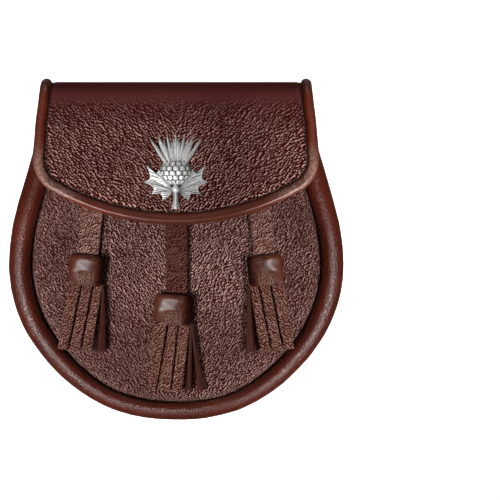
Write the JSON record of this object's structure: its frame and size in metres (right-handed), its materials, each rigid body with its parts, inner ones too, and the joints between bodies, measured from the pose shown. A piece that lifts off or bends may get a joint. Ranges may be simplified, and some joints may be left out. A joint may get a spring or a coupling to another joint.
{
  "type": "leather day sporran pouch",
  "caption": "Round-bottomed leather belt pouch with a fold-over flap, piped edges, hanging strap tassels, a cast thistle badge and rings behind for a belt chain.",
  "frame": {"origin": "middle of the part's bounding box in X and Y, on the surface that the pouch lies on", "axes": "the pouch lies on its back: +Z out of its front, +Y up it towards the fold of the flap, +X towards its right side seen from the front"},
  "size_m": [0.19, 0.193, 0.0418],
  "materials": {
    "grained_leather": "dark red-brown pebble-grained leather, semi-gloss",
    "smooth_leather": "dark oxblood smooth calf, polished, finely wrinkled",
    "tassel_leather": "red-brown leather, polished on the rolled heads and grained on the strips",
    "antique_silver": "cast silver-plated metal, darkened in its recesses",
    "plated_steel": "polished nickel plate"
  },
  "bodies": {
    "root": {"back_panel": "smooth_leather", "back_piping": "smooth_leather", "gusset": "smooth_leather", "front_rim": "smooth_leather", "front_panel": "grained_leather", "flap": "grained_leather", "flap_piping": "smooth_leather", "badge": "antique_silver", "snap_stud": "plated_steel", "tassel_strap_left": "tassel_leather", "tassel_strap_center": "tassel_leather", "tassel_strap_right": "tassel_leather", "tassel_left": "tassel_leather", "tassel_center": "tassel_leather", "tassel_right": "tassel_leather", "ring_tab_left": "smooth_leather", "ring_tab_right": "smooth_leather", "d_ring_left": "plated_steel", "d_ring_right": "plated_steel"}
  },
  "joints": []
}
